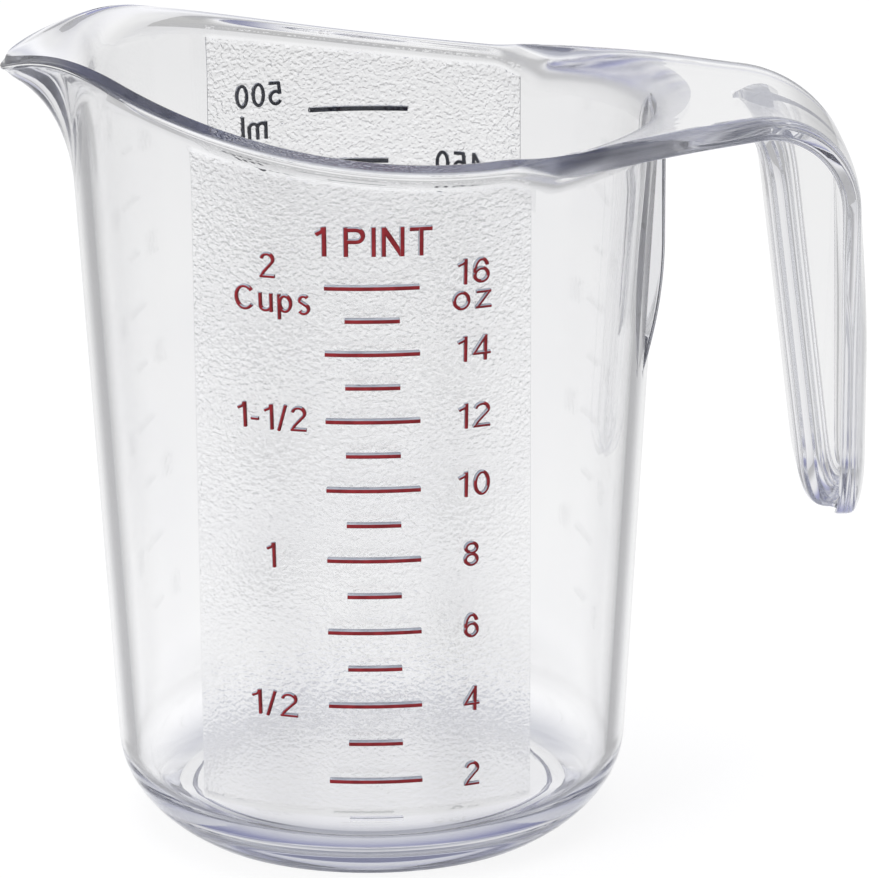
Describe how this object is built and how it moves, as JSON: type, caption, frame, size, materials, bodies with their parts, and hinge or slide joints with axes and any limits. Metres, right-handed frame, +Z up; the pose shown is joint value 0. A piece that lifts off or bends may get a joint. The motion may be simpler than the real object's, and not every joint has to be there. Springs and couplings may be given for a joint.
{
  "type": "measuring cup",
  "caption": "Clear plastic measuring cup with a tapered round body, drooping pour spout, open strap handle and raised inked volume marks on front and back.",
  "frame": {"origin": "centre of the part's bounding box in plan, on the plane of the foot ring that stands on the table", "axes": "+X from the spout to the handle, +Y towards the back with the metric marks, +Z up along the cup's axis"},
  "size_m": [0.1358, 0.0952, 0.1268],
  "materials": {
    "clear_plastic": "clear, polished, with two lightly textured bands",
    "red_ink": "satin ink on a raised mark",
    "navy_ink": "satin ink on a raised mark"
  },
  "bodies": {
    "root": {"cup_body": "clear_plastic", "ounce_mark_01": "clear_plastic", "ounce_mark_02": "red_ink", "ounce_mark_03": "red_ink", "ounce_mark_04": "red_ink", "ounce_mark_05": "red_ink", "ounce_mark_06": "red_ink", "ounce_mark_07": "red_ink", "ounce_mark_08": "red_ink", "ounce_mark_09": "red_ink", "ounce_mark_10": "red_ink", "ounce_mark_11": "red_ink", "ounce_mark_12": "red_ink", "ounce_mark_13": "red_ink", "ounce_mark_14": "red_ink", "ounce_mark_15": "red_ink", "ounce_mark_16": "red_ink", "metric_mark_050": "navy_ink", "metric_mark_100": "navy_ink", "metric_mark_150": "navy_ink", "metric_mark_200": "navy_ink", "metric_mark_250": "navy_ink", "metric_mark_300": "navy_ink", "metric_mark_350": "navy_ink", "metric_mark_400": "navy_ink", "metric_mark_450": "navy_ink", "metric_mark_500": "navy_ink"}
  },
  "joints": []
}
